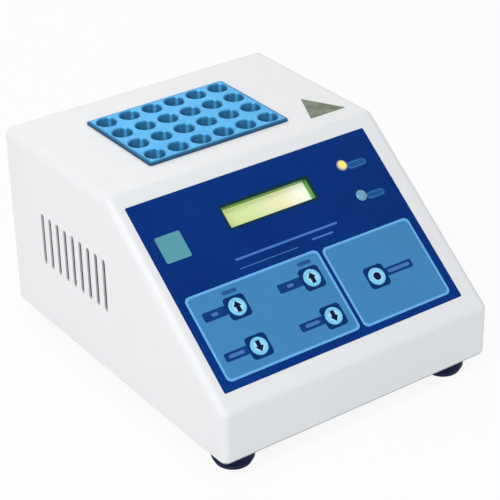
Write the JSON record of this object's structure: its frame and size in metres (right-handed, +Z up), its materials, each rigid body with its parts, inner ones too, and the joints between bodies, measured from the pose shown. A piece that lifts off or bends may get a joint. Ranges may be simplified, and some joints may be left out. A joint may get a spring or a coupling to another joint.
{
  "type": "dry block heater",
  "caption": "Bench dry block heater: wedge-shaped moulded housing with a sloping key panel and display, and a drilled metal block for sample tubes in its top.",
  "frame": {"origin": "middle of the footprint, on the surface that the feet stand on", "axes": "+X to the user's right, +Y from the front lip to the back, +Z up"},
  "size_m": [0.2, 0.24, 0.138],
  "materials": {
    "white_housing": "satin moulded, fine grain",
    "base_steel": "grey paint, satin",
    "foot_rubber": "matt",
    "zinc_screws": "zinc plated",
    "blue_anodised": "blue anodised, satin",
    "dark_gasket": "matt",
    "insulation_foam": "open foam",
    "heater_silicone": "moulded silicone",
    "bright_sheet": "zinc plated sheet",
    "black_plastic": "moulded",
    "black_gloss": "polished",
    "panel_film": "printed film, satin",
    "key_cap": "moulded, satin",
    "lit_lamp": "clear lens, lit",
    "unlit_lamp": "clear lens, off",
    "display_green": "translucent, lit",
    "display_face": "backlit",
    "board_laminate": "solder mask",
    "wire_sheath": "flexible sheath",
    "ribbon_sheath": "flat cable sheath",
    "olive_foil": "foil sticker",
    "brass_parts": "bright",
    "core_steel": "laminated, lacquered",
    "coil_tape": "wound and taped",
    "bright_aluminium": "extruded",
    "terminal_green": "moulded",
    "rear_paint": "satin paint",
    "fuse_glass": "clear"
  },
  "bodies": {
    "housing": {"case_cover": "white_housing", "base_plate": "base_steel", "front_left_foot": "foot_rubber", "front_right_foot": "foot_rubber", "rear_left_foot": "foot_rubber", "rear_right_foot": "foot_rubber", "foot_screws": "zinc_screws", "foot_nuts": "zinc_screws", "case_screws": "zinc_screws", "heating_block": "blue_anodised", "block_gasket": "dark_gasket", "insulation_jacket": "insulation_foam", "heater_plate": "heater_silicone", "block_carrier": "bright_sheet", "carrier_screws": "zinc_screws", "thermal_cutout": "black_plastic", "temperature_sensor": "bright_sheet", "panel_overlay": "panel_film", "power_lamp": "lit_lamp", "heater_lamp": "unlit_lamp", "display_frame": "display_green", "display_glass": "display_face", "display_module": "black_plastic", "control_board": "board_laminate", "control_board_screws": "zinc_screws", "foil_triangle": "olive_foil", "power_board": "board_laminate", "board_spacers": "brass_parts", "power_board_screws": "zinc_screws", "transformer_core": "core_steel", "transformer_coil": "coil_tape", "heat_sink": "bright_aluminium", "power_triac": "black_plastic", "terminal_block": "terminal_green", "rear_panel": "rear_paint", "rear_panel_screws": "zinc_screws", "inlet_socket": "black_plastic", "inlet_pins": "brass_parts", "inlet_screws": "zinc_screws", "switch_housing": "black_plastic", "fuse_holder": "black_plastic", "fuse_nut": "black_plastic", "fuse_cap": "black_gloss", "glass_fuse": "fuse_glass", "heater_leads": "heater_silicone", "cutout_leads": "wire_sheath", "mains_wires": "wire_sheath", "ribbon_cable": "ribbon_sheath", "ribbon_plugs": "black_plastic", "temp_up_key_switch": "black_plastic", "temp_down_key_switch": "black_plastic", "time_up_key_switch": "black_plastic", "time_down_key_switch": "black_plastic", "start_key_switch": "black_plastic"},
    "temp_up_key": {"temp_up_key": "key_cap"},
    "temp_down_key": {"temp_down_key": "key_cap"},
    "time_up_key": {"time_up_key": "key_cap"},
    "time_down_key": {"time_down_key": "key_cap"},
    "start_key": {"start_key": "key_cap"},
    "switch_rocker": {"switch_rocker": "black_gloss"}
  },
  "joints": [
    {"name": "temp_up_key_press", "type": "slide", "parent": "housing", "child": "temp_up_key", "axis": [0, -0.612, 0.7909], "range_m": [-0.0005, 0], "stiffness_N_per_m": 500, "springref_m": 0.0003},
    {"name": "temp_down_key_press", "type": "slide", "parent": "housing", "child": "temp_down_key", "axis": [0, -0.612, 0.7909], "range_m": [-0.0005, 0], "stiffness_N_per_m": 500, "springref_m": 0.0003},
    {"name": "time_up_key_press", "type": "slide", "parent": "housing", "child": "time_up_key", "axis": [0, -0.612, 0.7909], "range_m": [-0.0005, 0], "stiffness_N_per_m": 500, "springref_m": 0.0003},
    {"name": "time_down_key_press", "type": "slide", "parent": "housing", "child": "time_down_key", "axis": [0, -0.612, 0.7909], "range_m": [-0.0005, 0], "stiffness_N_per_m": 500, "springref_m": 0.0003},
    {"name": "start_key_press", "type": "slide", "parent": "housing", "child": "start_key", "axis": [0, -0.612, 0.7909], "range_m": [-0.0005, 0], "stiffness_N_per_m": 500, "springref_m": 0.0003},
    {"name": "power_switch_tilt", "type": "hinge", "parent": "housing", "child": "switch_rocker", "pos_m": [-0.042, 0.1106, 0.051], "axis": [1, 0, 0], "range_deg": [0, 24]}
  ]
}
